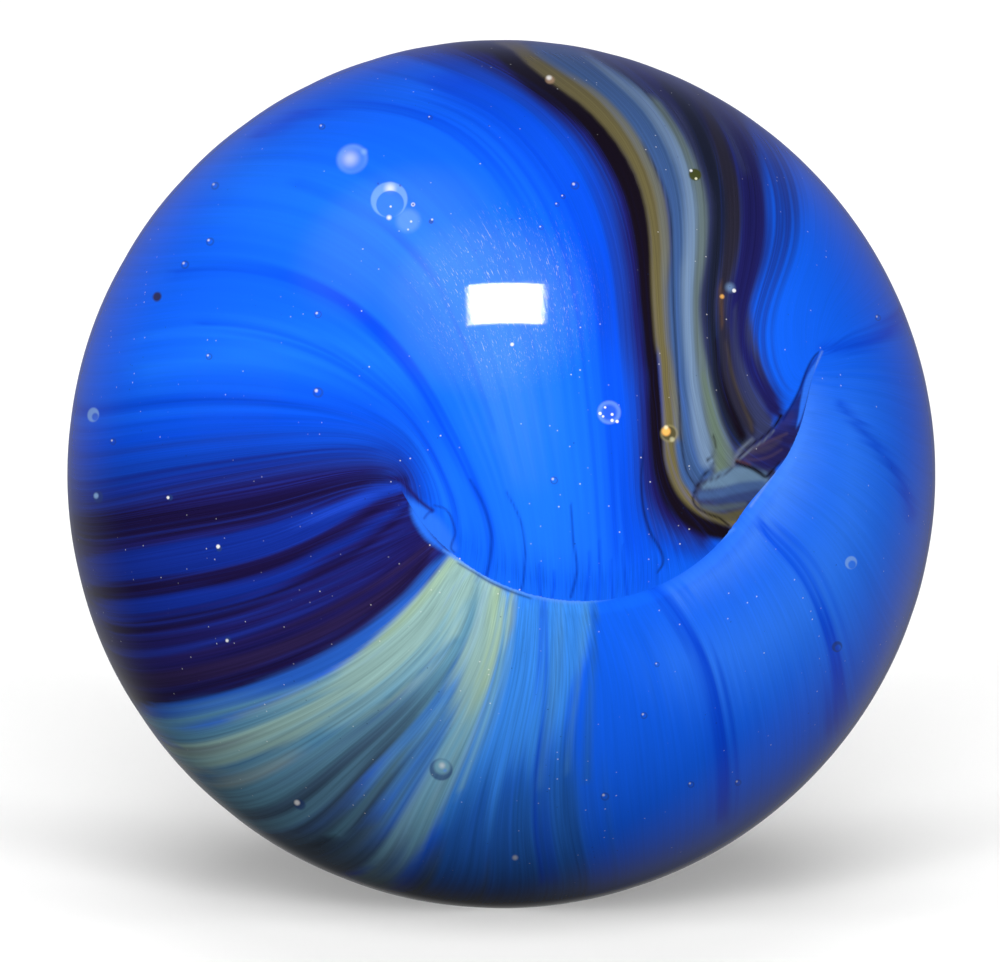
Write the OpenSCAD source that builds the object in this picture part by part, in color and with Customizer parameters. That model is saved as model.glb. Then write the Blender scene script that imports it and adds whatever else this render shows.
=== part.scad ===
// Machine-made glass marble: one solid ball, with the crease where its hot glass folded shut.
// The ball's centre is the origin, the front faces -Y and +Z is up.

/* [Ball] */
// Diameter across the ball
ball_d = 16; // [12:0.5:25]

/* [Fold] */
// Turn of the bend's middle, from the front to the right
fold_turn = 11; // [-40:1:40]
// Rise of the bend's middle above the ball's equator
fold_rise = 19.5; // [-30:0.5:50]
// Angle at the ball's centre between the bend's middle and the crease
bend_angle = 25.5; // [18:0.5:32]
// Where the bend begins, counted round its middle from the right-hand side
bend_start = -159; // [-175:1:-120]
// Where the bend ends and the straight tail begins
bend_end = -36; // [-70:1:-20]
// Angle at the ball's centre that the tail covers
tail_angle = 26; // [15:1:40]

/* [Crease] */
// Depth of the crease where the bend meets the tail
crease_depth = 0.15; // [0.06:0.01:0.2]
// Width of the long slope on the side that was folded under
slope_w = 0.5; // [0.3:0.05:0.7]
// Width of the rounded lip that closed over it
lip_w = 0.16; // [0.08:0.02:0.24]

/* [Hidden] */
ball_r = ball_d / 2;
// Height of the cutting section, well clear of the glass
section_h = 1;
// Both runs pass the joint by this angle, so that they make one crease
joint_lap = 1;
bend_span = bend_end - bend_start;
// The bend's ring is smaller than the ball by this much and pushed to the bend's start,
// so that the crease grows from nothing there
bend_fall = crease_depth / (1 - cos(bend_span));
bend_push = bend_fall / sin(bend_angle);
bend_tilt = bend_fall / ball_r / tan(bend_angle) * 180 / PI;
bend_turn = bend_span + asin(bend_push * sin(bend_span) / (ball_r * sin(bend_angle)));
// The tail's ring runs out of the ball at the far end in the same way
deep_r = ball_r - crease_depth;
tail_push = (ball_r ^ 2 - deep_r ^ 2) / (2 * (ball_r - deep_r * cos(tail_angle)));
tail_r = ball_r - tail_push;
tail_turn = asin(deep_r * sin(tail_angle) / tail_r);
glass_blue = [0.09, 0.27, 0.85];

marble();

module marble() {
    color(glass_blue)
    difference() {
        sphere(r = ball_r, $fn = 180);
        rotate([90 - fold_rise, 0, fold_turn]) {
            bend_cut();
            tail_cut();
        }
    }
}

// Curved run of the crease, round the bend's middle
module bend_cut() {
    rotate([0, 0, bend_start])
    translate([bend_push, 0, 0])
    rotate([0, -bend_tilt, 0])
    rotate_extrude(angle = bend_turn + joint_lap, $fn = 180)
    translate((ball_r - bend_fall) * [sin(bend_angle), cos(bend_angle)])
    rotate(-bend_angle)
    crease_section();
}

// Straight tail of the crease, in a plane through the ball's centre
module tail_cut() {
    rotate([0, 0, bend_end])
    rotate([0, bend_angle - 90, 0])
    rotate([0, 0, tail_angle])
    translate([tail_push, 0, 0])
    rotate([0, 0, -tail_turn - joint_lap])
    rotate_extrude(angle = tail_turn + joint_lap, $fn = 180)
    translate([tail_r, 0])
    rotate(-90)
    crease_section();
}

// Section across the crease, with its sharp bottom at the origin and the air along +Y
module crease_section() {
    lip = [for (a = [0:15:90]) [lip_w * (1 - cos(a)), crease_depth * sin(a)]];
    polygon(concat(lip, [[lip_w, section_h], [-slope_w, section_h], [-slope_w, crease_depth]]));
}
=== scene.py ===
from math import asin, atan, cos, pi, radians, sin, tan

import bmesh
import bpy
import numpy as np
from mathutils import Matrix, Vector


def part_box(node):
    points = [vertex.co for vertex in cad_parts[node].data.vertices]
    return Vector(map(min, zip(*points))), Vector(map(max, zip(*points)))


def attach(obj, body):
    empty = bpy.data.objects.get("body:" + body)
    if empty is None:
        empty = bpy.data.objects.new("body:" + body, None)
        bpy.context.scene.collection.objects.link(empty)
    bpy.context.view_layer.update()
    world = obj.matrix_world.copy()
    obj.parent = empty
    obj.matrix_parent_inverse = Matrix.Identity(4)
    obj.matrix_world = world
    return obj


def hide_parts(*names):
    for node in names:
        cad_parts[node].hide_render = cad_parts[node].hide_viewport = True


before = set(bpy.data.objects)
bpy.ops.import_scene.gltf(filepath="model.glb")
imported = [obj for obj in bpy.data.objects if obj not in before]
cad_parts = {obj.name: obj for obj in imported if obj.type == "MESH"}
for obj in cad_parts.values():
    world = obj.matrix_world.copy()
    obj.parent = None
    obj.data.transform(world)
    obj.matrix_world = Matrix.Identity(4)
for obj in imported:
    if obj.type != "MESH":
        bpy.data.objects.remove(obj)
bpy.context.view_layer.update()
scene = bpy.context.scene

# The camera: a long lens close to the table, ten degrees above the ball's middle.
# It is set so that the ball fills the same circle of pixels as in the photograph.
photo_wide, photo_high = 1000, 962
ball_px = (501.2, 474.1)
ball_px_r = 434.3
ball_low, ball_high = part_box("marble")
ball_r = (ball_high[2] - ball_low[2]) / 2
camera_rise = radians(10)
camera_far = 12.0  # in ball radii
sensor_mm = 36
to_camera = np.array([0, -cos(camera_rise), sin(camera_rise)])
view_up = np.array([0, sin(camera_rise), cos(camera_rise)])
view_right = np.array([1.0, 0, 0])
focus_px = ball_px_r / tan(asin(1 / camera_far))
px_size = ball_r * camera_far / focus_px

camera = bpy.data.objects.new("camera", bpy.data.cameras.new("camera"))
scene.collection.objects.link(camera)
camera.data.sensor_width = sensor_mm
camera.data.lens = sensor_mm * focus_px / photo_wide
camera.data.clip_start = 0.001
camera.data.clip_end = 20
aim = (photo_wide / 2 - ball_px[0]) * px_size * view_right
aim = aim + (ball_px[1] - photo_high / 2) * px_size * view_up
camera.matrix_world = Matrix(np.column_stack([view_right, view_up, to_camera]).tolist()).to_4x4()
camera.location = Vector(aim + ball_r * camera_far * to_camera)
scene.camera = camera

# The ball: one gob of hot glass, rolled round between grooved rollers, so a true sphere.
# Where its end folded shut there is a shallow crease, and every streak of coloured glass runs
# into that crease and fans out from it round the ball.
fold_turn, fold_rise = radians(11), radians(19.5)
bend_angle = radians(25.5)
bend_start, bend_end = radians(-159), radians(-36)
tail_angle, tail_bow = radians(26), radians(1.6)
crease_depth, slope_w, lip_w = 0.06e-3, 0.5e-3, 0.25e-3

bend_mid = np.array([sin(fold_turn) * cos(fold_rise), -cos(fold_turn) * cos(fold_rise),
                     sin(fold_rise)])
bend_right = np.array([cos(fold_turn), sin(fold_turn), 0])
bend_up = np.cross(bend_mid, bend_right)
tail_span = atan(tan(tail_angle) / sin(bend_angle))
tail_end = bend_end + tail_span
tail_reach = atan(tan(bend_angle) / cos(tail_span))
fold_half = (tail_end - bend_start) / 2
fold_mid = (tail_end + bend_start) / 2


def on_ball(pixels):
    """The points of the unit ball that the photograph shows at these pixels."""
    pixels = np.asarray(pixels, float)
    ray = np.outer((pixels[:, 0] - ball_px[0]) / focus_px, view_right)
    ray = ray + np.outer((ball_px[1] - pixels[:, 1]) / focus_px, view_up) - to_camera
    ray /= np.linalg.norm(ray, axis=1, keepdims=True)
    nearest = -camera_far * (ray @ to_camera)
    inside = np.sqrt(np.maximum(nearest**2 - camera_far**2 + 1, 0))
    hit = camera_far * to_camera + (nearest - inside)[:, None] * ray
    return hit / np.linalg.norm(hit, axis=1, keepdims=True)


def in_photo(points):
    """The pixels at which points of the unit ball are seen, and how far each faces the camera."""
    front = points @ to_camera
    scale = focus_px / (camera_far - front)
    across, up = scale * (points @ view_right), scale * (points @ view_up)
    return ball_px[0] + across, ball_px[1] - up, front


def smooth(x):
    """Rises from 0 to 1 with level ends."""
    x = np.clip(x, 0, 1)
    return x * x * (3 - 2 * x)


def fold_reach(turn):
    """Angle from the bend's middle to the fold's line, all round: bend, tail, then a way back."""
    turn = (turn - bend_start) % (2 * pi) + bend_start
    along = np.clip(turn - bend_end, 0, tail_span)
    bow = tail_bow * np.sin(pi * along / tail_span) ** 2
    tail = np.arctan(tan(bend_angle) / np.cos(along)) + bow
    gap = 2 * pi - 2 * fold_half
    share = np.clip((turn - tail_end) / gap, 0, 1)
    rise = 0.5 * sin(2 * tail_reach) * tan(tail_span) * gap
    way_back = tail_reach + (bend_angle - tail_reach) * smooth(share)
    way_back = way_back + rise * share * (1 - share) ** 2
    return np.where(turn > tail_end, way_back, np.where(turn > bend_end, tail, bend_angle))


def reach_scale(size, turn):
    """How much the flat plane is stretched, so that the fold's line lies on its unit circle."""
    near, far = tan(bend_angle / 2), np.tan(fold_reach(turn) / 2)
    return near + (far - near) * smooth(size)


def flatten(points):
    """Ball to a flat plane on which the fold is an arc of the unit circle."""
    turn = np.arctan2(points @ bend_up, points @ bend_right)
    half = np.tan(np.arccos(np.clip(points @ bend_mid, -1, 1)) / 2)
    size = half / tan(bend_angle / 2)
    for _ in range(30):  # settles well before that
        size = half / reach_scale(size, turn)
    return size * np.exp(1j * (turn - fold_mid))


def lift(flat):
    """Back from the flat plane to the ball."""
    turn = np.angle(flat) + fold_mid
    reach = 2 * np.arctan(np.abs(flat) * reach_scale(np.abs(flat), turn))
    sideways = np.outer(np.cos(turn), bend_right).reshape(*turn.shape, 3)
    upward = np.outer(np.sin(turn), bend_up).reshape(*turn.shape, 3)
    return np.cos(reach)[..., None] * bend_mid + np.sin(reach)[..., None] * (sideways + upward)


fold_ends = np.exp(1j * fold_half), np.exp(-1j * fold_half)
fold_ratio = (1 - fold_ends[0]) / (1 - fold_ends[1])


def open_fold(flat):
    """Opens the fold like a purse, so that its two lips become one straight line."""
    return np.sqrt(-(flat - fold_ends[0]) / (flat - fold_ends[1]) / fold_ratio)


behind_px = (600, 540)
purse_end = open_fold(flatten(-on_ball([behind_px])))[0]


def to_disc(points):
    """Ball to a disc: its edge is the fold's two lips and its middle is the back of the ball."""
    opened = open_fold(flatten(points))
    return (opened - purse_end) / (opened + np.conj(purse_end))


def from_disc(disc):
    """Back from the disc to the ball."""
    opened = (purse_end + disc * np.conj(purse_end)) / (1 - disc)
    ratio = -opened * opened * fold_ratio
    return lift((fold_ends[0] - ratio * fold_ends[1]) / (1 - ratio))


def lips(place):
    """The disc's edge by place on the lips: 0 to 1 along the upper, 1 to 2 back along the lower."""
    place = np.asarray(place, float) % 2
    lip_end, short_of_end = 1e-5, 1 - 1e-11  # the two lips meet at a point that has no side
    along = -fold_half * np.cos(pi * np.clip(place, lip_end, 2 - lip_end)) * short_of_end
    flat = np.exp(1j * along)
    size = np.sqrt(np.abs((flat - fold_ends[0]) / (flat - fold_ends[1]) / fold_ratio))
    opened = np.where(place < 1, 1j, -1j) * size
    return (opened - purse_end) / (opened + np.conj(purse_end))


def spline(points, fine=12):
    """A smooth line through drawn points."""
    points = np.asarray(points, float)
    ends = np.vstack([2 * points[0] - points[1], points, 2 * points[-1] - points[-2]])
    a, b, c, d = (ends[k:len(ends) - 3 + k, None] for k in range(4))
    t = (np.arange(fine) / fine)[None, :, None]
    line = b + 0.5 * t * (c - a + t * (2 * a - 5 * b + 4 * c - d + t * (3 * (b - c) + d - a)))
    return np.vstack([line.reshape(-1, points.shape[1]), points[-1:]])


even_share = 0.3


def disc_size(along):
    """How far out on the disc a step along a stream lies: 1 at the fold, 0 at the ball's back."""
    return 1 - even_share * along - (1 - even_share) * smooth(along)


# Streams that were followed in the photograph, each from the fold to the ball's edge.
upper_streams = [
    [(412, 505), (402, 474), (378, 463), (320, 467), (230, 484), (140, 504), (74, 520)],
    [(433, 538), (428, 488), (400, 446), (350, 428), (260, 428), (160, 434), (70, 446)],
    [(455, 553), (452, 500), (412, 422), (350, 364), (300, 340), (250, 328), (205, 323), (150, 330),
     (95, 350)],
    [(487, 577), (490, 540), (470, 475), (445, 430), (420, 385), (390, 345), (350, 308), (310, 288),
     (270, 275), (220, 270), (170, 275), (125, 288)],
    [(527, 594), (522, 540), (512, 490), (494, 430), (470, 360), (447, 300), (418, 255), (380, 222),
     (330, 195), (290, 181), (230, 178), (190, 190)],
    [(575, 602), (574, 540), (570, 480), (560, 400), (548, 320), (535, 255), (512, 200), (480, 155),
     (440, 125), (400, 111), (350, 107), (300, 117), (258, 135)],
    [(615, 597), (612, 530), (606, 440), (600, 360), (596, 290), (580, 225), (550, 170), (510, 125),
     (460, 95), (410, 85), (375, 88)],
    [(652, 580), (656, 545), (646, 500), (645, 440), (642, 370), (636, 300), (625, 225), (600, 160),
     (560, 112), (510, 77), (455, 55)],
    [(720, 545), (690, 515), (664, 480), (656, 420), (652, 360), (644, 300), (639, 225), (625, 175),
     (592, 125), (525, 75), (495, 52)],
    [(733, 525), (700, 505), (679, 480), (670, 420), (662, 340), (659, 275), (653, 200), (634, 150),
     (594, 100), (530, 62), (515, 48)],
    [(757, 500), (722, 470), (699, 420), (690, 340), (688, 275), (692, 200), (665, 125), (618, 75),
     (585, 52)],
    [(785, 445), (752, 430), (735, 400), (725, 340), (722, 300), (731, 250), (722, 140), (690, 92),
     (645, 62)],
    [(800, 405), (782, 405), (762, 370), (754, 340), (757, 310), (782, 250), (783, 210), (770, 155),
     (735, 115)],
]
lower_streams = [
    [(805, 385), (840, 390), (885, 400), (925, 420)],
    [(780, 463), (825, 480), (875, 515), (908, 565)],
    [(752, 508), (772, 535), (808, 575), (832, 640), (840, 690), (838, 725)],
    [(715, 549), (745, 605), (772, 680), (782, 750), (775, 800)],
    [(650, 582), (682, 622), (702, 660), (716, 720), (723, 790), (720, 828)],
    [(600, 601), (628, 680), (644, 760), (648, 830), (645, 880)],
    [(570, 602), (578, 680), (572, 760), (580, 830), (605, 885)],
    [(535, 597), (528, 680), (512, 760), (505, 840), (515, 900)],
    [(505, 588), (494, 650), (470, 730), (432, 810), (405, 870)],
    [(485, 577), (462, 645), (415, 705), (350, 762), (300, 815)],
    [(465, 565), (420, 635), (350, 690), (270, 725), (190, 745)],
    [(447, 551), (402, 602), (335, 650), (255, 682), (180, 698), (145, 704)],
    [(435, 542), (375, 582), (300, 615), (200, 645), (125, 655)],
    [(420, 524), (350, 550), (275, 580), (200, 600), (105, 612)],
    [(402, 492), (350, 503), (275, 537), (200, 555), (88, 575)],
]


def lips_place(pixel, on_lower):
    """Where along the lips a stream drawn from this pixel begins."""
    foot = on_ball([pixel])[0]
    along = (np.arctan2(foot @ bend_up, foot @ bend_right) - fold_mid + pi) % (2 * pi) - pi
    place = np.arccos(np.clip(-along / fold_half, -1, 1)) / pi
    return 2 - place if on_lower else place


# Each drawn stream leads its neighbours: the swing it makes round the disc is spread between them.
lanes, steps, evening = 240, 80, 10
near_fold = 0.95
lead_at, leads = [], []
for on_lower, drawn_streams in ((False, upper_streams), (True, lower_streams)):
    for drawn in drawn_streams:
        begin = lips_place(drawn[0], on_lower)
        followed = to_disc(on_ball(spline(drawn)))
        swings = np.angle(followed / lips(begin))
        sizes = np.minimum.accumulate(np.abs(followed))
        clear = sizes < near_fold
        sizes, swings = np.append(1, sizes[clear]), np.append(0, swings[clear])
        lead_at.append(begin)
        leads.append(np.interp(-disc_size(np.linspace(0, 1, steps + 1)), -sizes, swings))
order = np.argsort(lead_at)
lead_at, leads = np.array(lead_at)[order], np.array(leads)[order]
lane_at = np.arange(lanes) * 2 / lanes
lead = np.column_stack([np.interp(lane_at, lead_at, row, period=2) for row in leads.T])
for _ in range(evening):
    lead = (np.roll(lead, 1, 0) + 2 * lead + np.roll(lead, -1, 0)) / 4
    lead[:, 1:-1] = (lead[:, :-2] + 2 * lead[:, 1:-1] + lead[:, 2:]) / 4


def along_streams(around, along):
    """Points of the unit ball by stream (0 to 1 around the lips) and step along it (0 to 1)."""
    lane, step = (around % 1) * lanes, np.clip(along, 0, 1) * steps
    i, j = np.floor(lane).astype(int) % lanes, np.minimum(np.floor(step).astype(int), steps - 1)
    a, b = lane - np.floor(lane), step - j
    k = (i + 1) % lanes
    swing = (1 - a) * ((1 - b) * lead[i, j] + b * lead[i, j + 1])
    swing = swing + a * ((1 - b) * lead[k, j] + b * lead[k, j + 1])
    return from_disc(disc_size(along) * lips(2 * around) * np.exp(1j * swing))


def fold_depth(points):
    """Depth of the crease at points of the unit ball: a long slope to the fold, then a lip."""
    turn = np.arctan2(points @ bend_up, points @ bend_right)
    turn = (turn - bend_start) % (2 * pi) + bend_start
    across = ball_r * (np.arccos(np.clip(points @ bend_mid, -1, 1)) - fold_reach(turn))
    to_joint = (1 - np.cos(turn - bend_start)) / (1 - cos(bend_end - bend_start))
    past_joint = 1 - np.clip((turn - bend_end) / tail_span, 0, 1)
    deep = crease_depth * np.where(turn < bend_end, to_joint, past_joint**2)
    section = np.where(across < 0, 1 + across / slope_w, 1 - smooth(across / lip_w))
    return deep * np.clip(section, 0, 1)


# The glass starts as a flat sheet: one edge of it is the fold's lips, its lines run with the
# streams, and its rows lie closer together near the fold.
columns, rows = 880, 112
fold_share = 0.4
glass_sheet = bmesh.new()
bmesh.ops.create_grid(glass_sheet, x_segments=columns, y_segments=rows, size=1)
grid = np.array([vert.co[:2] for vert in glass_sheet.verts])
sheet_around, sheet_along = (grid[:, 0] + 1) / 2, (grid[:, 1] + 1) / 2
sheet_around[sheet_around == sheet_around.max()] = 1  # so the last column meets the first
sheet_along *= fold_share + (1 - fold_share) * sheet_along
ball_points = along_streams(sheet_around, sheet_along)
ball_points *= (ball_r - fold_depth(ball_points))[:, None]
for vert, spot in zip(glass_sheet.verts, ball_points):
    vert.co = spot


def glass(red, green, blue, streaky=0.1):
    """A colour of glass in full light, and how strongly it is drawn out in fine streaks."""
    seen = np.array([red, green, blue]) / 255
    linear = np.where(seen > 0.04045, ((seen + 0.055) / 1.055) ** 2.4, seen / 12.92)
    return np.append(linear, streaky)


upper, lower, both = (0, 0.5), (0.5, 1), (0, 1)
streaks = []


def lay(side, colour, soft, *line):
    """One streak of glass: its side of the fold, colour, softness of edge, and pixels with half
    widths. A half width below zero thins the streak's end out to nothing."""
    streaks.append((side, colour, soft, spline(line, fine=6)))


# clear blue of the upper side, lighter in its middle, with deeper lines that bend over leftwards
blue, sky, deep_blue = glass(18, 100, 248), glass(28, 116, 253), glass(6, 70, 222)
lay(upper, sky, 60, (545, 590, 40), (545, 520, 45), (535, 440, 45), (505, 350, 45), (450, 270, 45),
    (380, 220, 40), (250, 190, 30))
lay(upper, glass(54, 123, 253), 40, (524, 470, 2), (514, 410, 18), (500, 370, 16))
lay(upper, sky, 30, (420, 390, 2), (380, 362, 5), (320, 345, 8), (240, 345, 11), (150, 365, 12))
lay(upper, sky, 16, (455, 525, 6), (442, 482, 10), (415, 440, 8), (385, 410, 0))
lay(upper, deep_blue, 7, (486, 578, 1), (490, 560, 1), (492, 540, 2), (487, 515, 2), (470, 478, 3),
    (445, 430, 4), (420, 385, 5), (390, 345, 6), (350, 308, 5), (310, 288, 4), (270, 275, 3),
    (220, 270, 2), (170, 275, 1))
lay(upper, deep_blue, 5, (455, 553, 1), (452, 500, 2), (412, 422, 2), (350, 364, 1), (300, 340, 1),
    (250, 328, 1), (205, 323, 1))
lay(upper, deep_blue, 7, (494, 430, -2), (470, 360, -1), (447, 300, -1), (418, 255, 0),
    (380, 222, 0), (330, 195, 0), (290, 181, -1))
lay(upper, deep_blue, 9, (535, 255, 1), (512, 200, 2), (480, 155, 3), (440, 125, 3), (400, 111, 3),
    (350, 107, 3), (300, 117, 3), (258, 135, 2))
lay(upper, deep_blue, 26, (640, 570, 14), (625, 520, 10), (615, 440, 8), (608, 360, 8),
    (600, 290, 12), (580, 225, 14), (550, 170, 15), (505, 120, 16), (450, 85, 16))
fold_blue, crease_blue = glass(14, 96, 246, 0.5), glass(4, 44, 160)
lay(upper, fold_blue, 30, (455, 535, 4), (495, 565, 9), (560, 585, 12), (620, 580, 10),
    (660, 560, 6))
lay(upper, crease_blue, 2.5, (470, 480, 0.3), (483, 505, 0.8), (491, 535, 1), (490, 560, 1),
    (486, 578, 0.8))
lay(upper, crease_blue, 2, (506, 492, 0.2), (520, 520, 0.4), (525, 550, 0.6), (524, 575, 0.6),
    (521, 592, 0.5))
lay(upper, crease_blue, 2, (571, 505, 0.2), (573, 540, 0.5), (577, 570, 0.8), (571, 598, 0.8))
for x, y, foot in ((539, 565, 541), (554, 572, 552), (589, 552, 586), (599, 540, 599),
                   (611, 560, 613), (623, 545, 628)):
    lay(upper, deep_blue, 2.5, (x, y, 0.2), (x, y + 15, 0.6), (foot, 600, 0.8))
# dark bands of the left side
shade_blue, royal = glass(6, 66, 204, 0.15), glass(18, 44, 146, 0.3)
bright_royal = glass(30, 70, 196, 0.3)
violet, dark_violet, plum = glass(30, 26, 92, 0.45), glass(26, 17, 62, 0.4), glass(42, 31, 76, 0.4)
lay(both, shade_blue, 50, (425, 500, 2), (402, 432, 10), (350, 416, 16), (250, 424, 24),
    (150, 436, 26), (75, 452, 26))
lay(both, royal, 30, (414, 497, 2), (396, 454, 8), (350, 452, 13), (300, 458, 17), (250, 465, 21),
    (200, 474, 23), (150, 483, 24), (70, 501, 24))
lay(both, royal, 12, (399, 485, 6), (375, 488, 10), (350, 498, 14), (300, 512, 20), (250, 528, 24),
    (200, 540, 26), (150, 548, 26), (65, 560, 26))
lay(both, violet, 17, (411, 496, 2), (398, 472, 5), (375, 470, 11), (350, 475, 16), (300, 486, 22),
    (250, 498, 26), (200, 508, 27), (150, 520, 27), (65, 539, 26))
lay(both, dark_violet, 9, (404, 481, 2), (375, 479, 6), (350, 486, 8), (300, 499, 11),
    (250, 512, 14), (200, 521, 17), (150, 529, 20), (65, 541, 24))
lay(lower, violet, 3, (425, 522, 36), (380, 548, 60), (330, 575, 67), (280, 595, 75),
    (230, 607, 80), (170, 617, 80), (80, 625, 80))
lay(both, royal, 3, (399, 489, 4), (375, 495, 6), (350, 507, 8), (325, 519, 11), (300, 529, 14),
    (275, 538, 15), (250, 545, 16), (225, 551, 16), (200, 555, 17), (150, 563, 16), (80, 573, 15))
lay(both, bright_royal, 8, (399, 488, 2), (380, 492, 3), (360, 500, 4), (340, 509, 3),
    (310, 521, 1), (270, 536, -8))
lay(lower, dark_violet, 6, (400, 497, 1), (375, 510, 3), (350, 527, 4), (325, 540, 5),
    (300, 552, 6), (275, 562, 6), (250, 570, 7), (200, 583, 8), (150, 590, 9), (80, 598, 10))
lay(lower, royal, 7, (405, 506, 1), (375, 525, 3), (350, 541, 4), (325, 553, 5), (300, 568, 6),
    (275, 580, 7), (250, 588, 8), (225, 594, 8), (200, 598, 9), (150, 606, 9), (80, 614, 10))
lay(lower, dark_violet, 4, (405, 514, 1), (375, 539, 2), (350, 557, 2.5), (325, 570, 3),
    (300, 583, 3), (275, 595, 3.5), (250, 605, 4), (200, 617, 5), (150, 626, 6), (95, 634, 6))
lay(lower, glass(26, 38, 124, 0.35), 14, (412, 522, 1), (385, 547, 2), (350, 575, 4), (300, 600, 5),
    (250, 620, 6), (200, 632, 6), (150, 640, 5), (100, 646, 5))
lay(lower, plum, 9, (432, 547, 5), (400, 585, 10), (375, 605, 12), (350, 621, 14), (325, 636, 15),
    (300, 648, 15), (275, 660, 16), (250, 670, 18), (200, 683, 19), (130, 697, 19))
lay(lower, dark_violet, 6, (428, 556, 2), (400, 590, 3), (350, 627, 4), (300, 654, 5),
    (250, 676, 7), (200, 690, 8), (135, 702, 9))
# light strip and pale fan under the bands
ice, mist, fan_bed = glass(40, 96, 196, 0.2), glass(58, 139, 238, 0.3), glass(98, 150, 178, 0.4)
cream, straw = glass(148, 185, 182, 0.33), glass(158, 190, 164, 0.3)
foam = glass(116, 172, 202, 0.33)
teal, slate, wedge = glass(78, 136, 174, 0.45), glass(72, 102, 132, 0.45), glass(50, 70, 92, 0.4)
fan_blue, deep_teal = glass(60, 120, 200, 0.4), glass(36, 102, 198, 0.35)
ash = glass(128, 152, 158, 0.3)
lay(lower, mist, 14, (500, 585, 20), (505, 640, 45), (492, 710, 58), (475, 760, 48), (458, 810, 30))
lay(lower, mist, 8, (565, 600, 28), (566, 650, 20), (558, 700, 8), (552, 770, 2))
lay(lower, deep_teal, 30, (560, 740, 2), (545, 800, 40), (520, 850, 70), (500, 900, 90))
lay(lower, fan_bed, 12, (470, 590, 16), (445, 650, 34), (405, 705, 48), (350, 755, 58),
    (290, 800, 66), (210, 850, 76))
lay(lower, ice, 4, (448, 556, 3), (430, 572, 4), (410, 597, 6), (390, 617, 8), (370, 634, 9),
    (350, 648, 10), (325, 662, 10), (300, 675, 10), (275, 686, 11), (250, 697, 12), (225, 705, 13),
    (200, 711, 14), (175, 717, 15), (135, 724, 16))
lay(lower, cream, 5, (465, 568, 14), (445, 605, 23), (425, 635, 28), (400, 660, 30), (375, 680, 29),
    (350, 695, 27), (325, 708, 25), (300, 719, 24), (275, 729, 23), (250, 737, 21), (225, 746, 18),
    (150, 768, 14))
lay(lower, ash, 12, (300, 752, 3), (260, 764, 9), (220, 776, 14), (180, 786, 16), (140, 795, 16))
lay(lower, glass(94, 152, 188, 0.4), 12, (345, 684, 0), (300, 697, 5), (260, 709, 9),
    (220, 720, 12), (140, 740, 14))
lay(lower, straw, 5, (452, 561, 4), (430, 590, 4), (400, 623, 4), (370, 649, 2), (325, 677, -5))
lay(lower, foam, 8, (470, 600, -2), (440, 640, 2), (405, 675, 4), (360, 706, 3), (310, 732, 0),
    (250, 754, -4))
lay(lower, slate, 12, (454, 656, -4), (422, 696, 7), (393, 729, 15), (370, 756, 22), (346, 784, 28),
    (318, 812, 34), (260, 860, 38))
lay(lower, slate, 14, (405, 800, -4), (378, 828, 12), (350, 850, 20), (300, 880, 30))
lay(lower, slate, 16, (440, 835, -6), (428, 860, 10), (415, 900, 22))
lay(lower, wedge, 11, (440, 680, -3), (412, 710, 6), (383, 739, 8), (350, 768, 7), (310, 800, 3),
    (260, 840, -6))
lay(lower, wedge, 11, (420, 722, -2), (392, 754, 4), (362, 786, 7), (330, 815, 7), (300, 838, 8))
lay(lower, fan_bed, 7, (430, 715, 1), (400, 750, 1.5), (365, 790, 2), (330, 830, 3))
lay(lower, teal, 6, (455, 640, 1), (425, 670, 2), (375, 705, 2), (325, 735, 3), (270, 756, 4),
    (200, 780, 5))
lay(lower, fan_blue, 8, (478, 628, 0), (460, 670, 2), (442, 712, 4), (420, 755, 5), (397, 795, 5),
    (375, 830, -4))
lay(lower, fan_blue, 6, (466, 640, 0), (448, 682, 1), (425, 724, 1), (402, 760, 0), (380, 790, -4))
lay(lower, cream, 8, (487, 582, 9), (486, 625, 11), (478, 660, 13), (468, 700, 13), (456, 740, 11),
    (440, 780, 9), (416, 820, 9), (375, 880, 8))
lay(lower, foam, 9, (472, 690, 3), (458, 735, 7), (438, 785, 8), (412, 830, 9), (375, 880, 9))
lay(lower, foam, 9, (505, 600, 4), (504, 650, 6), (494, 700, 5), (480, 745, 4), (462, 790, 3))
lay(lower, straw, 5, (497, 590, 6), (491, 640, 5), (478, 690, 2), (460, 738, -5))
lay(lower, straw, 5, (513, 592, 2), (509, 630, 2), (500, 675, -5))
soft_teal = glass(72, 140, 212, 0.4)
lay(lower, soft_teal, 6, (585, 604, 2), (582, 660, 2), (572, 720, 1), (566, 770, 0.5))
lay(lower, soft_teal, 6, (560, 603, 1), (556, 680, 2), (546, 750, 1), (540, 790, 0.5))
lay(lower, deep_blue, 9, (545, 600, 0.5), (543, 680, 1), (541, 750, 2), (538, 800, 2),
    (548, 880, 2))
lay(lower, deep_teal, 5, (595, 606, 1), (593, 660, 2), (590, 720, 3), (588, 780, 3))
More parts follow.
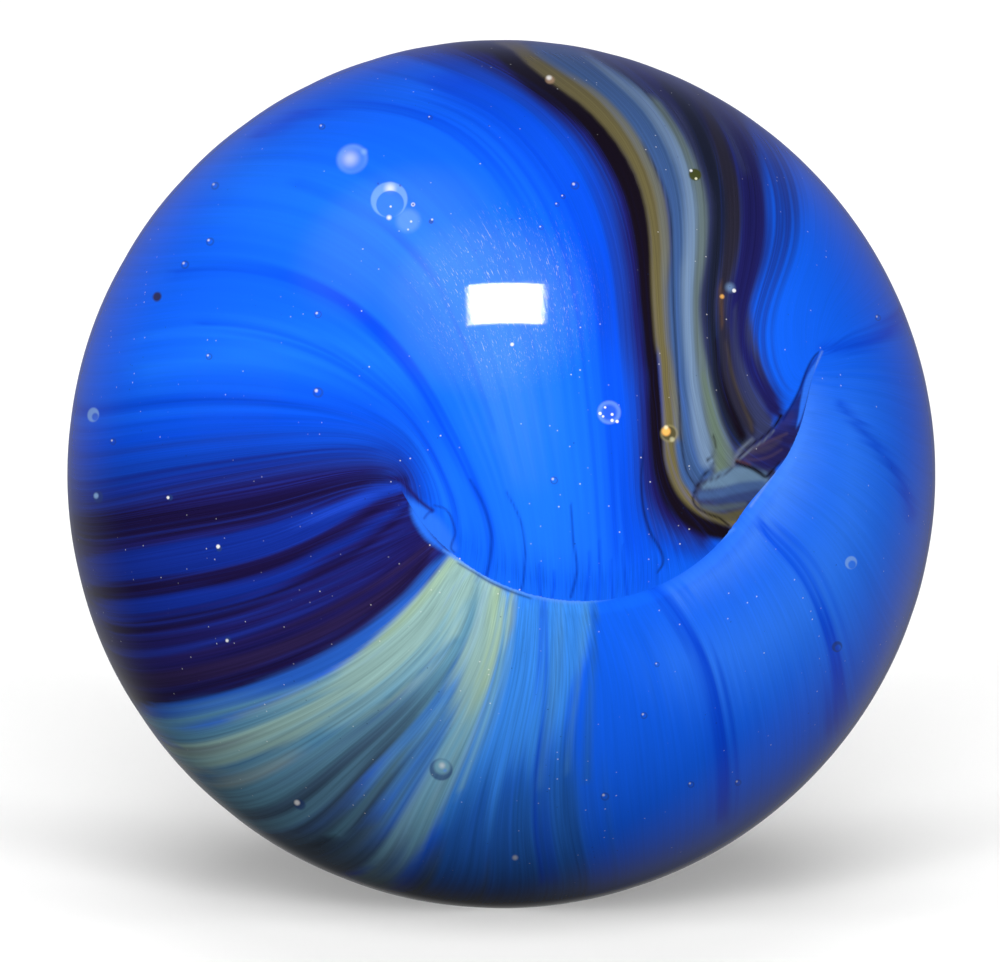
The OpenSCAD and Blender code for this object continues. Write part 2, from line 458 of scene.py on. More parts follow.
# right-hand side: lighter blue strokes of painted reflection haze, with two deeper lines of glass
# in it
painted_haze_milky, painted_haze_blue = glass(72, 137, 252), glass(48, 125, 255)
lay(lower, painted_haze_blue, 60, (850, 420, 20), (850, 520, 40), (810, 600, 50), (745, 650, 40),
    (690, 660, 20))
lay(lower, painted_haze_milky, 34, (808, 395, 2), (802, 430, 10), (788, 472, 20), (770, 515, 14), (735, 560, 6),
    (690, 590, 3))
lay(lower, deep_blue, 10, (648, 585, 1), (665, 600, 3), (685, 630, 5), (702, 660, 7), (713, 690, 8),
    (720, 730, 9), (724, 770, 9), (722, 815, 8))
lay(lower, glass(8, 84, 240), 9, (762, 526, 5), (776, 536, 7), (791, 551, 7), (809, 576, 6),
    (823, 606, 5), (832, 640, 4))
lay(lower, deep_blue, 9, (815, 590, -3), (826, 615, 3), (834, 645, 5), (838, 680, 7), (836, 725, 7))
lay(both, deep_blue, 10, (823, 349, 1), (850, 346, 5), (880, 336, 6), (905, 314, 5))
lay(lower, deep_blue, 9, (840, 405, 1), (880, 450, 2), (900, 480, 3), (912, 515, 3))
# ribbon of many colours that comes down from the top
black, olive, stone = glass(21, 14, 25, 0.2), glass(108, 100, 66, 0.35), glass(108, 110, 102, 0.35)
steel = glass(62, 92, 142, 0.35)
pale, sage, ink = glass(112, 137, 168, 0.3), glass(98, 114, 116, 0.35), glass(28, 33, 52, 0.3)
umber = glass(42, 40, 56, 0.3)
indigo, dusk, navy = glass(30, 29, 90, 0.35), glass(52, 58, 96, 0.3), glass(26, 60, 162, 0.3)
lay(upper, navy, 14, (700, 70, 10), (742, 108, 12), (768, 150, 13), (784, 200, 13), (778, 250, 12),
    (762, 300, 8), (757, 340, 6), (766, 375, 5), (782, 402, 3))
lay(upper, shade_blue, 24, (405, 50, 8), (430, 52, 8), (455, 60, 6), (495, 80, 9), (540, 108, 11),
    (572, 138, 11), (590, 165, 13), (601, 190, 16), (611, 220, 15), (618, 270, 14), (625, 320, 11),
    (634, 360, 8), (638, 420, 8), (640, 470, 9), (648, 515, 10), (675, 545, 8), (710, 548, 4))
lay(upper, navy, 15, (425, 44, 14), (455, 50, 14), (505, 75, 10), (545, 105, 9), (578, 133, 9),
    (598, 160, 10), (611, 190, 12), (618, 220, 13), (624, 260, 14), (627, 310, 13), (632, 350, 12),
    (641, 400, 9), (643, 450, 9), (649, 490, 12), (664, 524, 13), (700, 546, 8))
lay(upper, violet, 9, (446, 41, 9), (463, 45, 9), (480, 52, 9), (518, 75, 9), (552, 103, 8),
    (584, 130, 8), (604, 157, 7), (617, 182, 7), (626, 207, 8), (632, 240, 9), (636, 275, 8),
    (638, 320, 7), (642, 350, 7), (646, 385, 6), (648, 430, 6), (650, 465, 7), (657, 495, 9),
    (674, 519, 9), (704, 536, 7))
lay(upper, dusk, 5, (560, 40, 50), (650, 105, 60), (688, 150, 62), (706, 200, 58), (707, 250, 54),
    (702, 300, 48), (709, 340, 45), (714, 380, 51), (720, 410, 54), (724, 440, 48), (728, 465, 42),
    (733, 490, 40))
lay(upper, indigo, 6, (630, 45, 18), (700, 98, 22), (736, 145, 18), (750, 200, 16), (752, 250, 14),
    (739, 300, 11), (738, 340, 9), (753, 380, 12), (767, 400, 12), (779, 416, 5))
lay(upper, dusk, 6, (640, 62, 2), (690, 90, 3), (725, 128, 3), (745, 170, 2))
lay(upper, dusk, 4, (735, 310, 1), (736, 350, 3), (747, 385, 5), (759, 408, 6), (765, 425, 4))
lay(upper, black, 4, (468, 40, 11), (484, 44, 10), (500, 50, 9), (534, 80, 11), (563, 100, 11),
    (594, 125, 10.5), (611, 150, 10.5), (625, 175, 10.5), (636, 200, 11), (641, 225, 10.5),
    (644, 250, 9.5), (646, 275, 9), (647, 300, 8.5), (649, 325, 8), (652, 360, 7.5), (654, 380, 7),
    (656, 420, 8), (659, 460, 8), (664, 480, 9), (674, 500, 11), (690, 515, 12), (710, 527, 11),
    (730, 535, 8))
lay(upper, steel, 4, (545, 48, 16), (585, 78, 20), (622, 100, 20), (645, 125, 18), (660, 150, 16),
    (672, 175, 14), (680, 200, 13), (684, 225, 13), (684, 250, 13), (681, 275, 12), (679, 300, 12),
    (681, 340, 12), (686, 380, 12), (690, 420, 14), (696, 450, 14), (702, 475, 10))
lay(upper, stone, 5, (512, 41, 4), (530, 55, 3), (557, 74, 4), (592, 97, 6), (619, 123, 6),
    (637, 150, 6.5), (649, 175, 7), (657, 200, 7), (661, 225, 6.5), (663, 250, 6), (662, 275, 5),
    (662, 300, 4), (664, 340, 4), (667, 360, 4), (673, 400, 5), (675, 440, 5), (677, 462, 5))
lay(upper, olive, 3, (498, 38, 6), (508, 42, 5), (518, 48, 5), (534, 62, 6), (558, 79, 7),
    (588, 100, 7.5), (612, 126, 6.5), (629, 150, 6), (642, 175, 6), (650, 200, 6), (654, 225, 5.5),
    (656, 250, 5.5), (656, 275, 5), (657, 300, 5), (660, 340, 5), (664, 360, 5), (667, 400, 5),
    (669, 440, 5.5), (671, 460, 6), (679, 480, 8), (687, 497, 6), (702, 512, 4), (722, 520, 4),
    (736, 524, 4))
lay(upper, steel, 3, (680, 445, 5), (684, 466, 6), (688, 480, 6), (695, 491, 4))
lay(upper, pale, 5, (580, 50, 0), (616, 78, 3), (645, 102, 5), (664, 127, 6), (678, 150, 7.5),
    (687, 175, 7), (692, 200, 8), (693, 225, 8), (692, 250, 7.5), (689, 275, 7), (688, 300, 6),
    (690, 340, 6), (694, 380, 6), (699, 420, 7), (703, 440, 8), (708, 460, 8))
lay(upper, sage, 4, (655, 100, 3), (686, 150, 4), (701, 200, 5), (701, 250, 5), (696, 300, 3),
    (698, 340, 4), (701, 360, 5), (705, 380, 6), (709, 400, 7), (713, 420, 8), (719, 440, 9),
    (724, 460, 10), (722, 474, 8))
lay(upper, glass(101, 120, 106, 0.3), 4, (703, 375, 1), (709, 400, 3), (714, 425, 4), (721, 455, 5),
    (721, 472, 4))
lay(upper, ink, 5, (662, 82, 4), (686, 105, 8), (707, 150, 9), (720, 200, 8), (718, 250, 8),
    (710, 300, 6), (714, 340, 7), (718, 380, 7), (724, 400, 8), (731, 420, 9), (739, 438, 8),
    (744, 446, 4))
lay(upper, umber, 4, (684, 84, 2), (703, 102, 5), (722, 150, 7), (734, 200, 8), (731, 250, 7),
    (721, 300, 4), (725, 340, 5), (730, 380, 6), (737, 400, 6), (747, 420, 6), (752, 433, 3))
lay(upper, black, 4, (716, 340, 0.5), (720, 370, 1.5), (727, 400, 3), (735, 420, 4), (742, 436, 4))
lay(upper, glass(72, 64, 58), 3, (726, 345, 0.2), (733, 378, 0.6), (744, 408, 0.6), (750, 422, 1),
    (752, 431, 0.4))
lay(upper, glass(96, 72, 56), 3, (720, 285, 0.5), (721, 300, 1), (722, 325, 0.3))
lay(upper, ink, 2, (646, 150, 0.6), (668, 200, 0.6), (672, 250, 0.7), (673, 300, 0.7),
    (679, 400, 0.8), (681, 440, 0.8), (686, 470, 0.8), (694, 484, 0.8))
# pocket where the ribbon tucks into the fold: a dark sail above the crack, a pale tongue below it
tongue, crack, lip_grey = glass(98, 126, 154), glass(18, 13, 18), glass(104, 114, 134)
lay(upper, dusk, 3, (706, 492, 12), (726, 492, 20), (748, 486, 20), (765, 478, 14))
lay(upper, glass(22, 68, 190), 1.5, (825, 349, 1.5), (816, 364, 4), (809, 378, 5), (805, 389, 5))
lay(upper, glass(30, 46, 128, 0.2), 3, (806, 394, 6), (801, 405, 8), (795, 418, 9), (789, 430, 11))
lay(upper, glass(48, 116, 244), 1.6, (824, 350, 0.5), (818, 362, 2), (809, 380, 3.2), (804, 400, 3),
    (800, 418, 1.6), (796, 430, 0))
lay(upper, glass(42, 46, 116), 4, (790, 416, 5), (781, 429, 6), (770, 438, 5), (756, 447, 3))
lay(upper, glass(34, 32, 84, 0.2), 6, (794, 436, 9), (783, 442, 12), (773, 449, 11), (761, 453, 8),
    (750, 457, 5), (741, 461, 2))
lay(upper, glass(34, 32, 84, 0.2), 3, (756, 460, 5), (770, 462, 8), (784, 452, 8))
lay(upper, glass(60, 54, 82, 0.2), 4, (743, 457, 2), (754, 452, 3), (768, 448, 3), (780, 441, 1))
lay(upper, glass(78, 64, 84), 2.5, (746, 453, 0.6), (757, 447, 0.8), (771, 441, 0.8),
    (787, 434, 0.5))
lay(upper, glass(70, 58, 86), 2.5, (745, 460, 0.6), (758, 460, 0.8), (770, 457, 0.8),
    (782, 450, 0.4))
lay(upper, glass(14, 28, 104), 1.6, (825, 349, 0.4), (815, 356, 0.7), (807, 370, 0.9),
    (800, 389, 1), (793, 404, 1.1), (783, 420, 1.1))
lay(upper, tongue, 3, (704, 487, 3), (722, 480, 8), (742, 476, 9), (762, 479, 7))
lay(upper, glass(66, 92, 140), 3, (700, 496, 4), (722, 494, 5), (742, 489, 6), (762, 487, 6))
lay(upper, glass(52, 68, 116), 3, (716, 502, 2), (730, 500, 4), (745, 498, 5), (758, 495, 5))
lay(upper, glass(78, 90, 102), 3, (702, 507, 2), (716, 509, 3), (732, 507, 3), (746, 505, 2))
lay(upper, glass(88, 84, 62), 3, (710, 515, 1.5), (722, 517, 3), (734, 517, 5), (746, 513, 4))
lay(upper, crack, 1.6, (714, 464, 0.6), (706, 473, 0.7), (699, 483, 0.8), (694, 494, 0.9),
    (693, 501, 0.9), (697, 508, 1), (707, 514, 1), (720, 519, 1), (730, 526, 0.8))
lay(upper, glass(56, 62, 84), 1.6, (736, 463, 0.6), (731, 469, 0.8), (725, 474, 0.8),
    (715, 479, 0.8), (704, 483, 0.8), (698, 490, 0.7), (697, 499, 0.7), (702, 507, 0.5))
lay(upper, lip_grey, 2.5, (733, 466, 1), (736, 457, 1.5), (743, 448, 1.5), (752, 440, 1))
lay(upper, crack, 1.6, (737, 462, 0.5), (741, 455, 0.8), (750, 446, 0.8), (762, 438, 0.8),
    (771, 430, 1), (777, 423, 1.5), (781, 416, 1.5))
lay(upper, lip_grey, 1.6, (739, 461, 0.5), (746, 454, 0.7), (755, 447, 0.6), (765, 440, 0.5),
    (774, 431, 0.3))
lay(upper, glass(96, 56, 44), 2, (736, 461, 0.6), (743, 463, 0.6), (750, 465, 0.4))
lay(upper, crack, 2, (736, 463, 1), (744, 466, 1.6), (753, 469, 2), (760, 473, 2), (767, 477, 1.6),
    (773, 471, 1.2), (780, 463, 0.6))
lay(upper, crack, 1.6, (713, 436, 0.6), (715, 442, 0.6), (716, 448, 0.5))
lay(upper, crack, 1.6, (715, 453, 0.5), (711, 457, 0.7), (707, 461, 0.5))
lay(upper, glass(10, 20, 70), 2, (643, 455, 0.3), (641, 480, 0.7), (643, 508, 0.8), (650, 532, 0.8),
    (661, 552, 0.8), (663, 564, 0.7), (658, 573, 0.3))
# painted highlight: the lower lip's edge catching the light beside the pocket
lay(lower, glass(108, 148, 226), 2, (822, 352, 0.3), (808, 383, 0.6), (802, 402, 0.7),
    (800, 418, 0.7), (794, 437, 0.9), (784, 458, 0.9), (770, 481, 0.7), (752, 507, 0.5))
# curl at the left-hand end of the fold
lobe, curl_line = glass(42, 112, 238), glass(16, 44, 150)
lay(upper, lobe, 5, (406, 496, -2), (414, 507, 4), (425, 519, 9), (438, 535, 11), (450, 549, 6))
lay(lower, lobe, 4, (408, 502, -3), (413, 512, 2), (418, 521, 4), (429, 537, 4), (443, 550, 1.5))
lay(upper, violet, 2.5, (388, 477, 0.5), (400, 481, 1.4), (410, 491, 1.5), (418, 500, 1.4),
    (425, 506, 1.4), (432, 511, 1.4))
lay(upper, curl_line, 2.5, (433, 511, 0.8), (428, 514, 0.5), (424, 519, 0.2))
lay(upper, curl_line, 1.8, (434, 506, 0.3), (444, 509, 0.5), (450, 516, 0.6), (454, 527, 0.6),
    (455, 535, 0.6), (452, 543, 0.6), (451, 549, 0.5), (454, 553, 0.3))
# painted highlight along the lower lip, where its rounded edge catches the light, and a darker line
# beside its left part
lay(lower, glass(84, 146, 248), 3, (444, 551, 0.5), (455, 558, 1.5), (475, 570, 2), (500, 585, 2),
    (530, 595, 2), (570, 602, 2), (610, 597, 2), (645, 584, 1.5), (690, 563, 1), (735, 530, 0.5))
lay(lower, glass(24, 60, 120), 2, (458, 564, 0.3), (475, 574, 0.6), (490, 583, 0.8),
    (510, 592, 0.8), (530, 599, 0.4))

wave_count, waves_scale = 60, 5.5
chance = np.random.default_rng(5)
waves = [(chance.integers(20, 230), chance.uniform(-5, 5), chance.uniform(0, 2 * pi))
         for _ in range(wave_count)]


def comb(around, along):
    """Sideways drift, different from stream to stream, that draws soft edges out in threads."""
    return sum(np.sin(2 * pi * count * around + lean * along + start)
               for count, lean, start in waves) / waves_scale


# the step at which each stream passes out of the camera's sight
edge_lanes, edge_steps = np.arange(720) / 720, np.linspace(0, 1, 121)
least_front = 0.13
lane_grid, step_grid = np.meshgrid(edge_lanes, edge_steps, indexing="ij")
seen_front = in_photo(along_streams(lane_grid.ravel(), step_grid.ravel()))[2]
out_of_sight = seen_front.reshape(lane_grid.shape) < least_front
edge = edge_steps[np.argmax(out_of_sight, axis=1)]
# the comb moves soft edges by some columns, and leaves hard ones and the glass at the fold alone
comb_columns, comb_start = 2, 1 / 8
hard_edge, combed_edge, comb_most = 3, 8, 1.5


def paint(around, along):
    """Colours of the glass, streak over streak; past the edge each stream keeps its colour."""
    along = np.minimum(along, np.interp(around % 1, edge_lanes, edge, period=1))
    still = np.column_stack(in_photo(along_streams(around, along))[:2])
    drift = comb_columns * comb(around, along) * np.minimum(1, along / comb_start) / columns
    combed = np.column_stack(in_photo(along_streams(around + drift, along))[:2])
    colours = np.tile(blue, (len(still), 1))
    for side, colour, soft, line in streaks:
        loose = np.clip((soft - hard_edge) / combed_edge, 0, comb_most)
        pixels = still + loose * (combed - still)
        margin = line[:, 2].max() + soft
        low, high = line[:, :2].min(0) - margin, line[:, :2].max(0) + margin
        inside = ((pixels > low) & (pixels < high)).all(1)
        near = np.flatnonzero(inside & (around >= side[0]) & (around <= side[1]))
        outside = np.full(len(near), np.inf)
        for start, end in zip(line[:-1], line[1:]):
            run = end - start
            t = np.clip((pixels[near] - start[:2]) @ run[:2] / (run[:2] @ run[:2]), 0, 1)
            gap = np.linalg.norm(pixels[near] - start[:2] - t[:, None] * run[:2], axis=1)
            outside = np.minimum(outside, gap - start[2] - t * run[2])
        amount = smooth(0.5 - outside / (2 * soft))[:, None]
        colours[near] += amount * (colour - colours[near])
    return colours


paint_layer = glass_sheet.verts.layers.float_color.new("paint")
stream_layer = glass_sheet.verts.layers.float_vector.new("stream")
sheet_colours, sheet_turn = paint(sheet_around, sheet_along), 2 * pi * sheet_around
for vert, colour, turn, step in zip(glass_sheet.verts, sheet_colours, sheet_turn, sheet_along):
    vert[paint_layer] = colour
    vert[stream_layer] = cos(turn), sin(turn), step

weld_gap, sharp_angle = 2e-8, radians(35)
rim = [vert for vert in glass_sheet.verts if vert.is_boundary]
bmesh.ops.remove_doubles(glass_sheet, verts=rim, dist=weld_gap)
bmesh.ops.recalc_face_normals(glass_sheet, faces=glass_sheet.faces)
ball_mesh = bpy.data.meshes.new("glass_ball")
glass_sheet.to_mesh(ball_mesh)
glass_sheet.free()
ball_mesh.shade_smooth()
ball_mesh.set_sharp_from_angle(angle=sharp_angle)
ball = bpy.data.objects.new("glass_ball", ball_mesh)
scene.collection.objects.link(ball)
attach(ball, "root")
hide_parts("marble")


class Shade:
    """A value on its way through a shader: arithmetic on it adds Math nodes to the tree at hand."""

    tree = None

    def __init__(self, socket):
        self.socket = socket

    @staticmethod
    def add(kind, settings, sockets, output=0):
        """Any other node: type, settings, values or links of its sockets, and the output wanted."""
        node = Shade.tree.nodes.new("ShaderNode" + kind)
        for name, value in settings.items():
            setattr(node, name, value)
        for name, value in sockets.items():
            if isinstance(value, Shade):
                Shade.tree.links.new(value.socket, node.inputs[name])
            else:
                node.inputs[name].default_value = value
        return Shade(node.outputs[output])

    def feed(self, socket):
        """Links the value to a socket of a node that is there already."""
        Shade.tree.links.new(self.socket, socket)

    def __add__(self, other):
        return Shade.add("Math", {"operation": "ADD"}, {0: self, 1: other})

    def __sub__(self, other):
        return Shade.add("Math", {"operation": "SUBTRACT"}, {0: self, 1: other})

    def __rsub__(self, other):
        return Shade.add("Math", {"operation": "SUBTRACT"}, {0: other, 1: self})

    def __mul__(self, other):
        return Shade.add("Math", {"operation": "MULTIPLY"}, {0: self, 1: other})

    __radd__, __rmul__ = __add__, __mul__


def vector(operation, first, second, output="Vector"):
    """Vector arithmetic, which may also give a plain value."""
    return Shade.add("VectorMath", {"operation": operation}, {0: first, 1: second}, output)


def mix(amount, first, second):
    """From the first colour to the second."""
    return Shade.add("Mix", {"data_type": "RGBA"}, {0: amount, 6: first, 7: second}, 2)


def fade(value, start, end):
    """Rises smoothly from 0 to 1 while the value goes from start to end."""
    ends = {"Value": value, "From Min": start, "From Max": end}
    return Shade.add("MapRange", {"interpolation_type": "SMOOTHSTEP"}, ends)


# The glass itself: each streak is drawn out in finer ones, with bubbles and specks just under
# the polished skin. The skin is smooth, with the faintest ripple along the streams.
swirl_glass = bpy.data.materials.new("swirl_glass")
swirl_glass.use_nodes = True
ball_mesh.materials.append(swirl_glass)
Shade.tree = swirl_glass.node_tree
skin = Shade.tree.nodes["Principled BSDF"]
glass_paint = Shade.add("Attribute", {"attribute_name": "paint"}, {}, "Color")
streakiness = Shade.add("Attribute", {"attribute_name": "paint"}, {}, "Alpha")
stream_place = Shade.add("Attribute", {"attribute_name": "stream"}, {}, "Vector")
ball_place = Shade.add("TexCoord", {}, {}, "Object")


def threads(count, length):
    """Fine threads along the streams: how many round the ball, and how often each changes."""
    stretched = vector("MULTIPLY", stream_place, (count / (2 * pi), count / (2 * pi), length))
    noise = {"Vector": stretched, "Scale": 1, "Detail": 3, "Roughness": 0.6}
    return Shade.add("TexNoise", {}, noise, "Fac")


wide_threads, fine_threads = threads(220, 2.5), threads(1200, 5)
thread_blue = (*glass(18, 66, 190)[:3], 1)
tinted = mix(0.5 * streakiness * fade(wide_threads, 0.48, 0.75), glass_paint, thread_blue)
wide_pull, fine_pull = 2, 2.6
level = 1 + streakiness * (wide_pull * (wide_threads - 0.5) + fine_pull * (fine_threads - 0.5))
threaded = Shade.add("VectorMath", {"operation": "SCALE"}, {0: tinted, "Scale": level}, "Vector")

white, frost, dim = (1, 1, 1, 1), (0.35, 0.6, 1, 1), (0.02, 0.05, 0.2, 1)
gold, pale_gold_glint, dull_gold = (1, 0.5, 0.12, 1), (1, 0.85, 0.5, 1), (0.6, 0.56, 0.35, 1)
gold_ring, gold_shade, rust = (0.3, 0.26, 0.12, 1), (0.06, 0.05, 0.02, 1), (0.5, 0.32, 0.2, 1)
soot, sea_blue = (0.03, 0.02, 0.02, 1), (0.1, 0.3, 1, 1)
bead, bead_glint, clear = (0.06, 0.07, 0.01, 1), (0.9, 0.9, 0.6, 1), glass_paint
# pixel, half width, softness of the edge, colour and strength of every disc that a bubble shows;
# the white spots and the bead's and gold one's bright spots are painted glints, and the bright
# crescent left where a clear disc sits off-centre in a frost one is a painted highlight
bubbles = [
    # three large ones at the top left, and their small neighbours
    (352, 159, 17, 0.3, frost, 0.35), (353, 161, 15, 0.4, clear, 0.5),
    (350, 159, 12, 1, white, 0.4), (364, 152, 5, 1, frost, 0.4),
    (389, 200, 18.3, 0.12, frost, 0.4), (390, 189, 8, 1, white, 0.6),
    (390, 204.5, 13.9, 0.12, clear, 0.9), (389, 218, 3.5, 0.9, white, 0.7),
    (390.6, 207, 1.5, 0.8, white, 0.7), (378, 184, 2, 0.8, dim, 0.5), (400, 186, 2, 0.8, dim, 0.6),
    (408, 221, 14.4, 0.5, frost, 0.2), (411, 222, 1.6, 0.8, white, 0.6),
    (408, 230, 1.4, 0.8, white, 0.5), (413, 205, 2.5, 0.5, white, 0.5),
    (413, 205, 1.4, 0.5, dim, 0.7), (431, 222, 3, 0.4, dim, 0.7), (432, 220, 1.5, 0.8, white, 0.6),
    # foamy one in the middle
    (609, 413, 12, 0.2, frost, 0.3), (609, 413, 9, 0.4, clear, 0.8), (600, 414, 2, 0.6, white, 0.9),
    (605, 408, 1.5, 0.6, white, 0.9), (612, 415, 1.8, 0.6, white, 0.9),
    (612, 421, 2, 0.6, white, 0.9), (617, 422, 2, 0.6, white, 0.9),
    (603, 417, 1.5, 0.6, white, 0.8),
    # golden one and dark bead on the ribbon
    (669, 434, 9.5, 0.3, gold_ring, 0.6), (669, 434, 7.5, 0.3, gold_shade, 0.8),
    (666, 432, 5.5, 0.6, gold, 1), (666, 428, 3, 0.9, pale_gold_glint, 0.9),
    (672, 440, 3.5, 0.8, dull_gold, 0.7), (695, 175, 7, 0.3, bead, 0.95),
    (691, 171, 2, 0.6, white, 0.9), (696, 179, 1.8, 0.6, bead_glint, 0.9),
    # on the pale fan
    (441, 770, 12, 0.2, dim, 0.7), (442, 767, 10, 0.5, clear, 1), (442, 766, 5, 1, white, 0.5),
    (445, 771, 3, 1, sea_blue, 0.5),
    # on the dark bands and the left-hand edge
    (157, 297, 6, 0.5, soot, 0.9), (219, 549, 3.5, 0.4, dim, 0.8), (218, 547, 2.5, 0.6, white, 0.9),
    (228, 640, 3.5, 0.4, dim, 0.7), (227, 641, 2.2, 0.7, white, 0.8),
    (170, 498, 3.5, 0.4, dim, 0.8), (168, 498, 2, 0.6, white, 0.9), (98, 497, 7, 0.4, dim, 0.6),
    (96, 496, 4, 0.7, frost, 0.7), (93, 415, 8, 0.3, frost, 0.6), (95, 417, 5, 0.5, clear, 0.8),
    # the right-hand side, the top edge and the bottom
    (851, 563, 7, 0.25, frost, 0.5), (852, 565, 5, 0.4, clear, 0.9), (837, 647, 6, 0.25, dim, 0.7),
    (838, 648, 4, 0.5, clear, 0.9), (550, 80, 6, 0.6, rust, 0.7),
    (549, 78, 4, 0.8, white, 0.8), (300, 805, 7, 0.5, dim, 0.7), (297, 803, 4, 0.7, white, 0.8),
    (515, 858, 4, 0.8, white, 0.5), (730, 288, 7, 1, frost, 0.35), (734, 291, 2.5, 0.6, white, 0.8),
    (722, 297, 3, 0.7, gold, 0.7), (512, 345, 2.4, 0.7, white, 0.7),
]
# small ones: a dim ring, clear glass inside and one painted glint up and to the left
for x, y, half_w in ((575, 186, 5), (318, 315, 4.5), (318, 393, 6), (185, 265, 5), (210, 242, 5),
                     (554, 481, 4.5), (605, 797, 5), (209, 357, 4), (215, 186, 5), (322, 127, 4),
                     (430, 118, 3), (563, 197, 3), (557, 205, 3), (541, 228, 3), (657, 665, 3),
                     (644, 716, 4), (691, 785, 4), (738, 783, 4), (113, 442, 4), (878, 318, 4)):
    aside = 0.3 * half_w
    bubbles += [(x, y, half_w, 0.4, dim, 0.55), (x, y, 0.7 * half_w, 0.5, clear, 0.9),
                (x - aside, y - aside, 0.4 * half_w, 0.9, white, 0.55)]

# both the bubbles and the glints are placed on the plane that the camera looks at
depth = vector("PROJECT", ball_place, Vector(to_camera))
front_place = vector("SUBTRACT", ball_place, depth)
to_front = vector("DOT_PRODUCT", ball_place, Vector(to_camera), "Value")
front_half = fade(to_front, 0, 0.1 * ball_r)


def from_pixel(x, y):
    """Distance on that plane from the place of a pixel."""
    point = on_ball([(x, y)])[0]
    point = Vector(ball_r * (point - (point @ to_camera) * to_camera))
    return vector("DISTANCE", front_place, point, "Value")


bubbly = threaded
for x, y, half_w, soft, colour, strength in bubbles:
    bubble_disc = fade(from_pixel(x, y), half_w * px_size, half_w * (1 - soft) * px_size)
    bubbly = mix(strength * bubble_disc, bubbly, colour)
dusty = mix(front_half, threaded, bubbly)

# specks of three sizes, in clusters
speck_w, speck_core = 0.019e-3, 0.006e-3
clusters = Shade.add("TexNoise", {}, {"Vector": ball_place, "Scale": 700, "Detail": 2}, "Fac")
for spacing, colour, strength in ((0.17e-3, white, 0.5), (0.21e-3, (0.01, 0.02, 0.06, 1), 0.6),
                                  (0.5e-3, white, 0.45)):
    cells = {"Vector": ball_place, "Scale": 1 / spacing}
    from_speck = Shade.add("TexVoronoi", {}, cells, "Distance")
    pick = Shade.add("SeparateColor", {}, {0: Shade.add("TexVoronoi", {}, cells, "Color")})
    speck = fade(from_speck, speck_w / spacing, speck_core / spacing)
    dusty = mix(strength * speck * fade(pick * clusters, 0.33, 0.48), dusty, colour)

# painted glints: threads of fine scratches painted white into the colour round the mirrored softbox
glint_px, glint_reach, glint_core = (506, 299), 105 * px_size, 40 * px_size
near_softbox = fade(from_pixel(*glint_px), glint_reach, glint_core)
glints = fade(threads(4200, 200), 0.6, 0.72) * near_softbox * front_half
mix(0.4 * glints, dusty, white).feed(skin.inputs["Base Color"])
skin.inputs["IOR"].default_value = 1.52
skin.inputs["Roughness"].default_value = 0.035
ripple = {"Strength": 1, "Distance": 0.6e-6, "Height": fine_threads}
Shade.add("Bump", {}, ripple, "Normal").feed(skin.inputs["Normal"])

# The table: a plain pale sheet, flat and matt, that the ball rests on.
# It shows the ball's shadow; the ball neither mirrors it nor takes light from it.
table_half = 80 * ball_r
table_form = bmesh.new()
bmesh.ops.create_grid(table_form, x_segments=1, y_segments=1, size=table_half)
bmesh.ops.translate(table_form, verts=table_form.verts, vec=(0, 0, -ball_r))
table_mesh = bpy.data.meshes.new("table")
table_form.to_mesh(table_mesh)
table_form.free()
table = bpy.data.objects.new("table", table_mesh)
scene.collection.objects.link(table)
white_sheet = bpy.data.materials.new("white_sheet")
white_sheet.use_nodes = True
table_mesh.materials.append(white_sheet)
sheet_skin = white_sheet.node_tree.nodes["Principled BSDF"]
sheet_skin.inputs["Base Color"].default_value = (0.9, 0.9, 0.9, 1)
sheet_skin.inputs["Specular IOR Level"].default_value = 0
table.visible_glossy = table.visible_diffuse = False
ball.visible_diffuse = False

# The light: a small softbox that the ball mirrors, broad soft lamps from the front, both sides and
# behind, and a dim room whose glow round the softbox hazes the glass. The table has soft suns of
# its own, which give the ball's shadow its dark core and long pale wings.
world = bpy.data.worlds.new("room")
scene.world = world
world.use_nodes = True
Shade.tree = world.node_tree
background = Shade.tree.nodes["Background"]
direction = Shade.add("TexCoord", {}, {}, "Generated")
away, height = (Shade.add("SeparateXYZ", {}, {0: direction}, axis) for axis in "YZ")
wall = 0.03 + 0.13 * fade(height, -0.55, -0.3) - 0.1 * fade(height, 0.2, 0.6)
room = 0.02 + fade(away, 0.4, 0.95) * wall
room_blue = (0.8, 0.88, 1.6, 1)
mix(fade(height, -0.35, 0.05), white, room_blue).feed(background.inputs["Color"])


def mirrored(x, y):
    """The direction that the ball mirrors to the camera at a pixel of the photograph."""
    normal = on_ball([(x, y)])[0]
    return Vector(2 * (normal @ to_camera) * normal - to_camera)


for x, y, wide, strength in ((487, 295, 28, 1.55), (390, 228, 26, 0.7), (815, 740, 34, 0.12)):
    toward_glow = vector("DOT_PRODUCT", direction, mirrored(x, y), "Value")
    room = room + strength * fade(toward_glow, cos(radians(wide)), 1)
room.feed(background.inputs["Strength"])
world.cycles_visibility.diffuse = False

lamp_far = 18 * ball_r


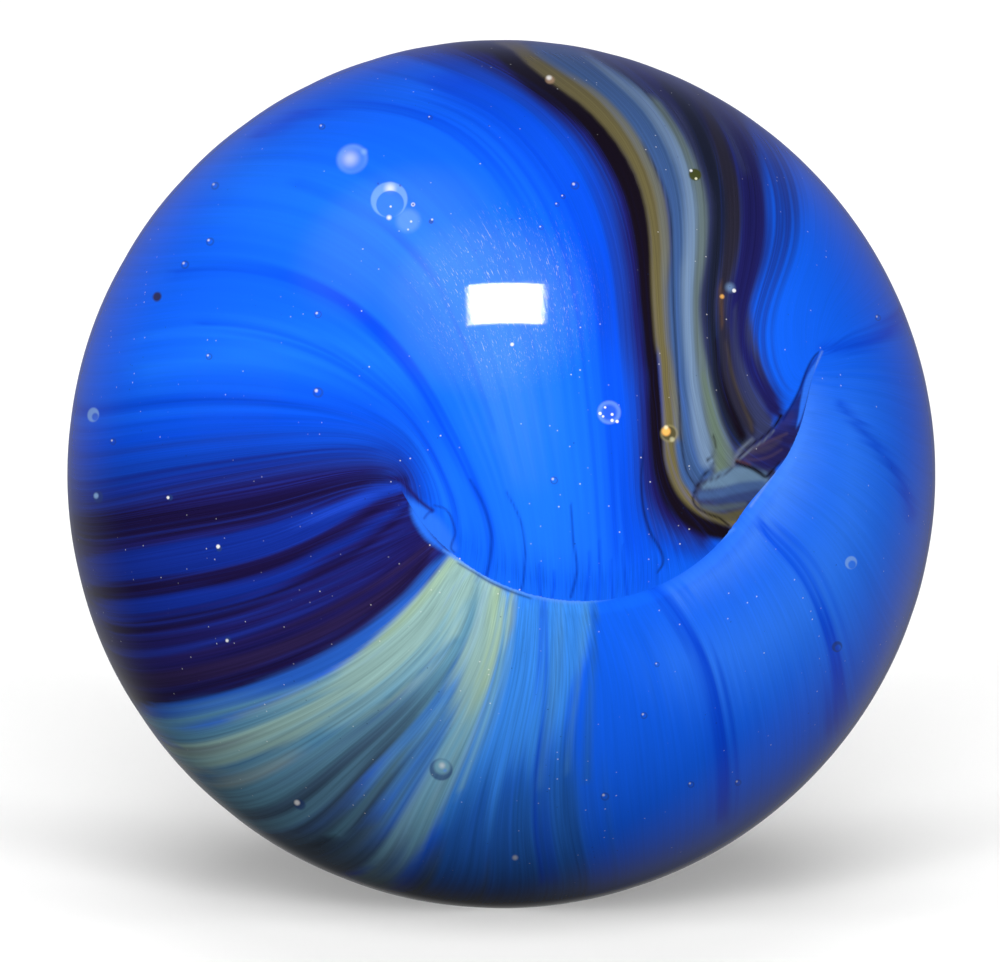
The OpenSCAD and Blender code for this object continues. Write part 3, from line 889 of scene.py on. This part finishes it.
def lamp(name, kind, aim_from, power, lit, **settings):
    """A lamp in this direction from the ball, aimed back at it, that lights one thing only."""
    light = bpy.data.lights.new(name, kind)
    light.energy = power
    for key, value in settings.items():
        setattr(light, key, value)
    holder = bpy.data.objects.new(name, light)
    scene.collection.objects.link(holder)
    holder.location = aim_from * lamp_far
    holder.rotation_euler = aim_from.to_track_quat("Z", "Y").to_euler()
    group = bpy.data.collections.new(name + "_lit")
    group.objects.link(lit)
    holder.light_linking.receiver_collection = group
    return holder


def toward(turn, rise):
    """Direction from the ball by degrees to the right of the front and above the table."""
    turn, rise = radians(turn), radians(rise)
    return Vector((sin(turn) * cos(rise), -cos(turn) * cos(rise), sin(rise)))


softbox_px = (506, 296)
softbox_w, softbox_h = (2 * lamp_far * tan(radians(half)) for half in (9.1, 5.7))
softbox = lamp("softbox", "AREA", mirrored(*softbox_px), 28 * pi * softbox_w * softbox_h, ball,
               shape="RECTANGLE", size=softbox_w, size_y=softbox_h)
softbox.location += Vector(on_ball([softbox_px])[0] * ball_r)
softbox.visible_diffuse = False
front = lamp("front", "AREA", toward(0, 25), 1.12 * (pi * lamp_far) ** 2, ball,
             shape="DISK", size=2 * lamp_far * tan(radians(10)))
left = lamp("left", "SUN", toward(-80, 20), 0.42 * pi, ball, angle=radians(30))
right = lamp("right", "SUN", toward(65, 14), 0.22 * pi, ball, angle=radians(30))
back = lamp("back", "SUN", Vector(-to_camera), 0.75 * pi, ball, angle=radians(12))
# the table doesn't stand in the back lamp's way
back.light_linking.blocker_collection = back.light_linking.receiver_collection
for soft_lamp in (front, left, right, back):
    soft_lamp.visible_glossy = False
for name, turn, rise, power, wide in (
        ("table_front", 0, 33.4, 0.69, 36), ("table_top", 0, 90, 0.38, 46),
        ("table_near_left", -41, 10.8, 0.82, 10), ("table_near_right", 41, 10.8, 0.82, 10),
        ("table_far_left", -76, 2, 2.35, 17), ("table_far_right", 76, 2, 2.35, 17)):
    lamp(name, "SUN", toward(turn, rise), power * pi, table, angle=radians(wide))
scene.view_settings.view_transform = "Standard"
